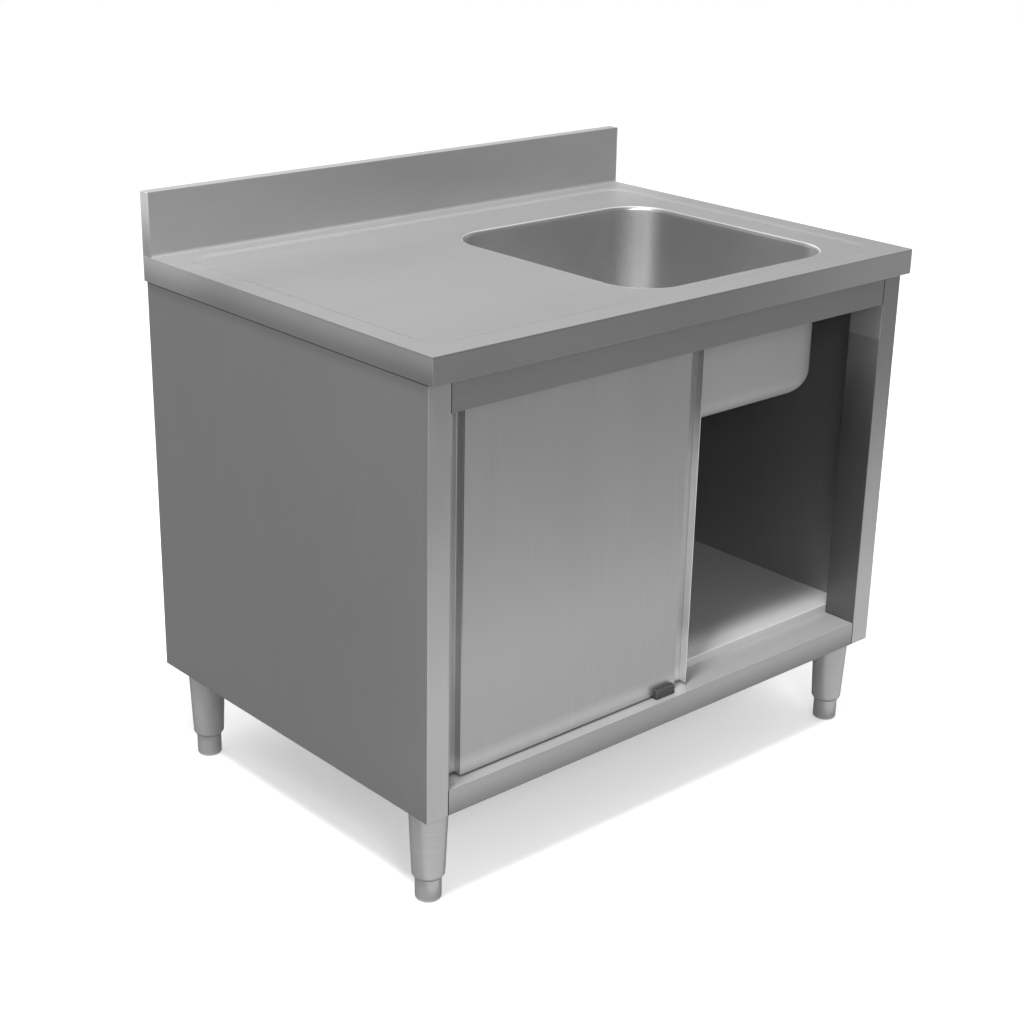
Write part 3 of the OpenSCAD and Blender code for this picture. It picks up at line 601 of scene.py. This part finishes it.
def round_outline(width, depth, radius):
    """Points round a rectangle with round corners, the same count for every size."""
    signs = ((1, 1), (-1, 1), (-1, -1), (1, -1))
    arcs = []
    for corner, (sx, sy) in enumerate(signs):
        middle = Vector((sx * (width / 2 - radius), sy * (depth / 2 - radius)))
        turns = [QUARTER * (corner + i / CORNER_STEPS) for i in range(CORNER_STEPS + 1)]
        arcs.append([middle + radius * Vector((math.cos(a), math.sin(a))) for a in turns])
    points = []
    for arc, following in zip(arcs, arcs[1:] + arcs[:1]):
        points += arc
        points += [arc[-1].lerp(following[0], i / SIDE_STEPS) for i in range(1, SIDE_STEPS)]
    return points


bm = bmesh.new()
rings = []


def bowl_ring(offset, z, circle_r=0, share=0):
    """Adds a ring of the bowl, that much outside its wall, drawn towards a circle by share."""
    ring = []
    for point in round_outline(BOWL_SIZE[0] + 2 * offset, BOWL_SIZE[1] + 2 * offset,
                               BOWL_CORNER + offset):
        point = point.lerp(point.normalized() * circle_r, share)
        ring.append(bm.verts.new((BOWL_AT[0] + point.x, BOWL_AT[1] + point.y, z)))
    rings.append(ring)


for i in range(RIM_STEPS + 1):
    a = QUARTER * i / RIM_STEPS
    bowl_ring(BOWL_RIM - BOWL_RIM * math.sin(a), DECK_Z - BOWL_RIM + BOWL_RIM * math.cos(a))
wall_top, wall_foot = DECK_Z - BOWL_RIM, BOWL_Z + BOWL_FOOT
for i in range(1, WALL_STEPS + 1):
    bowl_ring(0, wall_top + (wall_foot - wall_top) * i / WALL_STEPS)
for i in range(1, FOOT_STEPS + 1):
    a = QUARTER * i / FOOT_STEPS
    bowl_ring(-BOWL_FOOT + BOWL_FOOT * math.cos(a), wall_foot - BOWL_FOOT * math.sin(a))
for i in range(1, FLOOR_STEPS + 1):
    bowl_ring(-BOWL_FOOT, BOWL_Z, RECESS_TOP_R, i / FLOOR_STEPS)
for share in (0.25, 0.5, 0.75, 1):
    bowl_ring(-BOWL_FOOT, BOWL_Z + (RECESS_Z - BOWL_Z) * (3 - 2 * share) * share ** 2,
              RECESS_TOP_R + (RECESS_FLOOR_R - RECESS_TOP_R) * share, 1)
for share in (0.4, 1):
    bowl_ring(-BOWL_FOOT, RECESS_Z, RECESS_FLOOR_R + (WASTE_HOLE_R - RECESS_FLOOR_R) * share, 1)
for high_ring, low_ring in zip(rings, rings[1:]):
    seamed(bm, high_ring, low_ring)

# Painted shade in a band under the rim's highlight and on the right wall, and painted highlights in
# the four corners.
under_rim = (0.5, [("z", 0.8425, 0.844), ("z", 0.8468, 0.846)])
right_wall = (0.84, [("x", 0.39, 0.398), ("y", 0.14, 0.08), ("y", -0.14, 0.0)])
corner_highlights = [(1.65, [("x", *across), ("y", *along)])
                 for across in ((0.352, 0.393), (0.008, -0.033))
                 for along in ((0.105, 0.142), (-0.2036, -0.2406))]
bowl_steel = brushed_steel("bowl_satin", 0.5, "", roughness=0.3, grain_depth=0.05, metal=0.9,
                           streak=0.05, shades=[under_rim, right_wall, *corner_highlights])
bowl_outside = brushed_steel("bowl_drawn", 0.37, "", roughness=0.6, metal=0.6)
bowl = add_piece("pressed_bowl", bm, bowl_steel, "bowl_steel", "cabinet", "sink_bowl")
bowl.data.materials.append(bowl_outside)
sheet = bowl.modifiers.new("sheet", "SOLIDIFY")
sheet.thickness = BOWL_SHEET
sheet.offset = -1
sheet.use_even_offset = True
sheet.material_offset = 1


# Waste outlet: a polished stainless flange that sits in the recess, with its outlet below.
# The flange is turned, the thread is cut, and the cross bar carries the strainer's screw.
flange_low, flange_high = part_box("waste_flange")
FLANGE_R = (flange_high.x - flange_low.x) / 2
FLANGE_TOP = RECESS_Z + 0.003
SEAT_Z, SEAT_R = FLANGE_TOP - 0.0012, 0.0283
TUBE_R, OUTLET_R, COLLAR_R = 0.0209, 0.0239, 0.025
COLLAR_Z = flange_low.z + 0.050
OUTLET_PITCH, OUTLET_THREAD = 0.0021, 0.0011
OUTLET_END = flange_low.z + 0.0004
BOSS_R, BOSS_HOLE_R, BOSS_L = 0.005, 0.0021, 0.008
ARM_FROM, ARM_L, ARM_W, ARM_H = 0.0046, 0.0167, 0.003, 0.0078
EASED = 0.0006
bm = bmesh.new()
spun(bm, [(COLLAR_R, COLLAR_Z), (COLLAR_R, RECESS_Z), (FLANGE_R, RECESS_Z),
          (FLANGE_R, RECESS_Z + 0.0013), (FLANGE_R - 0.0003, RECESS_Z + 0.0021),
          (FLANGE_R - 0.0012, RECESS_Z + 0.0028), (FLANGE_R - 0.0022, FLANGE_TOP),
          (SEAT_R + 0.0003, FLANGE_TOP), (SEAT_R, FLANGE_TOP - 0.0002), (SEAT_R, SEAT_Z),
          (TUBE_R + 0.0008, SEAT_Z), (TUBE_R, SEAT_Z - 0.0008), (TUBE_R, flange_low.z),
          (OUTLET_R - OUTLET_THREAD, flange_low.z), (OUTLET_R - OUTLET_THREAD, OUTLET_END)], 96)
threaded(bm, OUTLET_R, OUTLET_END, COLLAR_Z, OUTLET_PITCH, OUTLET_THREAD, 96, 5)
spun(bm, [(OUTLET_R - OUTLET_THREAD, COLLAR_Z), (COLLAR_R, COLLAR_Z)], 96)
spun(bm, [(BOSS_R - 0.0001, SEAT_Z - BOSS_L), (BOSS_R, SEAT_Z), (BOSS_HOLE_R, SEAT_Z),
          (BOSS_HOLE_R, SEAT_Z - BOSS_L), (BOSS_R - 0.0001, SEAT_Z - BOSS_L)], 40)
for side in (-1, 1):
    arm = bmesh.ops.create_cube(bm, size=1)["verts"]
    for v in arm:
        v.co = Vector((side * (ARM_FROM + (0.5 + v.co.x) * ARM_L), v.co.y * ARM_W,
                       SEAT_Z - BOSS_L / 2 + v.co.z * ARM_H))
    bmesh.ops.bevel(bm, geom=list({e for v in arm for e in v.link_edges}), offset=EASED,
                    segments=2, affect="EDGES")
bmesh.ops.translate(bm, verts=bm.verts, vec=(*BOWL_AT, 0))
waste_steel = brushed_steel("waste_polished", 0.5, "xy", roughness=0.18, grain_depth=0.04)
add_piece("waste_outlet", bm, waste_steel, "waste_steel", "cabinet", "waste_flange")


# Strainer: a pierced stainless disc that lies on the flange's seat.
# Polished as the flange is, and held by one pan head screw into the cross bar.
dress("waste_strainer", waste_steel)
strainer_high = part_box("waste_strainer_screw")[1]
place_screws("strainer_screw", pan_screw,
             [Matrix.Translation((*BOWL_AT, strainer_high.z - HEAD_H))
              @ Matrix.Rotation(0.6, 4, "Z")], "cabinet", "waste_strainer_screw")


# Seal and lock nut: a black rubber ring under the bowl, and the pale plastic nut below it.
# The nut is moulded, and draws the flange down on the seal.
rubber = Finish("seal_rubber")
rubber_grain = rubber.noise(rubber.place(), [700] * 3, 3)
rubber.surface(Base_Color=rubber.mix(0.5 + rubber_grain, grey(0.02), grey(0.045)),
               Roughness=0.7 + rubber_grain * 0.2)
dress("waste_seal", rubber.material)
nut = Finish("nut_moulded")
nut_grain = nut.noise(nut.place(), [300] * 3, 3)
nut.surface(Base_Color=nut.mix(0.5 + nut_grain, grey(0.62), grey(0.76)),
            Roughness=0.45 + nut_grain * 0.2)
dress("waste_lock_nut", nut.material)


# Floor: a wide pale studio floor, far larger than the view, painted matt.
# It is white to the eye, keeps the cabinet's shadow, and shows a little darker in the steel.
FLOOR_SIZE = 80
FLOOR_TONE = 0.86
FLOOR_LIFT = 0.3
MIRRORED_TONE, MIRRORED_LIFT = 0.3, 0.62
bpy.ops.mesh.primitive_plane_add(size=FLOOR_SIZE)
floor = bpy.context.object
floor.name = "floor"
paint = Finish("floor_paint")
paint_grain = paint.noise(paint.place(), [0.4] * 3, 2)
seen = paint.ray("Is Camera Ray")
mirrored = paint.ray("Is Glossy Ray") + paint.ray("Is Transmission Ray")
floor_colour = paint.mix(seen + paint_grain * 0.02, grey(FLOOR_TONE), grey(1))
floor_lift = paint.mix(seen, grey(0), grey(FLOOR_LIFT))
paint.surface(Base_Color=paint.mix(mirrored, floor_colour, grey(MIRRORED_TONE)),
              Roughness=0.9, Specular_IOR_Level=0.2, Emission_Strength=1.0,
              Emission_Color=paint.mix(mirrored, floor_lift, grey(MIRRORED_LIFT)))
floor.data.materials.append(paint.material)


# Lamps: three soft boxes, one large above, one small and steep over the front left that
# lights the shelf, and one weak in front.
def softbox(name, place, aim, side, watts):
    lamp = bpy.data.lights.new(name, "AREA")
    lamp.shape = "RECTANGLE"
    lamp.size = lamp.size_y = side
    lamp.energy = watts
    box = bpy.data.objects.new(name, lamp)
    bpy.context.scene.collection.objects.link(box)
    box.location = place
    box.rotation_euler = (Vector(aim) - Vector(place)).to_track_quat("-Z", "Y").to_euler()
    box.visible_camera = False


softbox("ceiling_softbox", place=(0.8, 1.6, 4.2), aim=(0.2, 0.4, 0.5), side=5, watts=50)
softbox("key_softbox", place=(-1.3, -0.75, 3.2), aim=(0.1, -0.3, 0.3), side=0.6, watts=95)
softbox("front_softbox", place=(-1.7, -3.0, 2.2), aim=(0.2, -0.1, 0.3), side=0.8, watts=30)


# Grey cards, which only the steel mirrors: they stand round the cabinet and lean outwards.
# One lies flat under it, and darkens what the legs and rails show of the floor.
CARD_CLEARANCE = 0.004


def grey_card(name, tone, foot_from, foot_to, height, lean):
    """A card that stands on the line between two places and leans by that much at its top."""
    low = [Vector((*foot_from, CARD_CLEARANCE)), Vector((*foot_to, CARD_CLEARANCE))]
    high = [corner + Vector((*lean, height)) for corner in low]
    mesh = bpy.data.meshes.new(name)
    mesh.from_pydata([*low, *reversed(high)], [], [(0, 1, 2, 3)])
    card = bpy.data.objects.new(name, mesh)
    bpy.context.scene.collection.objects.link(card)
    mesh.materials.append(Finish(name).surface(Base_Color=grey(0), Roughness=1.0,
                                               Emission_Color=grey(tone),
                                               Emission_Strength=1.0))
    card.visible_camera = False
    card.visible_shadow = False
    card.visible_diffuse = False
    card.visible_transmission = False


grey_card("left_card", 0.38, (-0.56, -0.2), (-0.56, 4.0), height=1.4, lean=(-1.6, 0))
grey_card("back_card", 0.6, (0.0, 1.2), (5.0, -0.2), height=1.8, lean=(0.3, 0.8))
grey_card("shade_card", 0.14, (-0.64, -0.33), (0.75, -0.33), height=0, lean=(0, 0.95))
grey_card("leg_card", 0.42, (-0.64, -0.33), (-0.64, 0.5), height=0.13, lean=(0, 0))
grey_card("front_card", 0.37, (-0.4, -1.1), (3.4, -0.7), height=2.0, lean=(0.0, -0.3))


# Sky: plain white round the studio, as the camera and the steel see it.
# Its light on the cabinet is weaker.
SKY_LEVEL = 0.68
world = bpy.data.worlds.new("studio")
bpy.context.scene.world = world
world.use_nodes = True
sky = Nodes(world.node_tree)
sky_light = world.node_tree.nodes["Background"]
sky_shown = sky.ray("Is Camera Ray") + sky.ray("Is Glossy Ray")
sky.feed(sky_light.inputs["Color"], grey(1))
sky.feed(sky_light.inputs["Strength"], sky_shown * (1 - SKY_LEVEL) + SKY_LEVEL)


# Camera: where the photograph was taken from, left of the front and above the worktop.
# It has a long lens, no shift and no blur.
CAMERA_AT = (-1.978, -2.141, 1.537)
CAMERA_AZIMUTH = math.radians(42.13)
CAMERA_ELEVATION = math.radians(21.13)
CAMERA_ROLL = math.radians(1.19)
LENS_MM, SENSOR_MM = 66.26, 36
eye = bpy.data.cameras.new("camera")
eye.lens = LENS_MM
eye.sensor_width = SENSOR_MM
camera = bpy.data.objects.new("camera", eye)
bpy.context.scene.collection.objects.link(camera)
back = Vector((-math.sin(CAMERA_AZIMUTH) * math.cos(CAMERA_ELEVATION),
               -math.cos(CAMERA_AZIMUTH) * math.cos(CAMERA_ELEVATION),
               math.sin(CAMERA_ELEVATION)))
right = Vector((0, 0, 1)).cross(back).normalized()
right = Matrix.Rotation(CAMERA_ROLL, 3, back) @ right
camera.matrix_world = Matrix.Translation(CAMERA_AT) @ Matrix(
    (right, back.cross(right), back)).transposed().to_4x4()
bpy.context.scene.camera = camera
bpy.context.scene.view_settings.view_transform = "Standard"
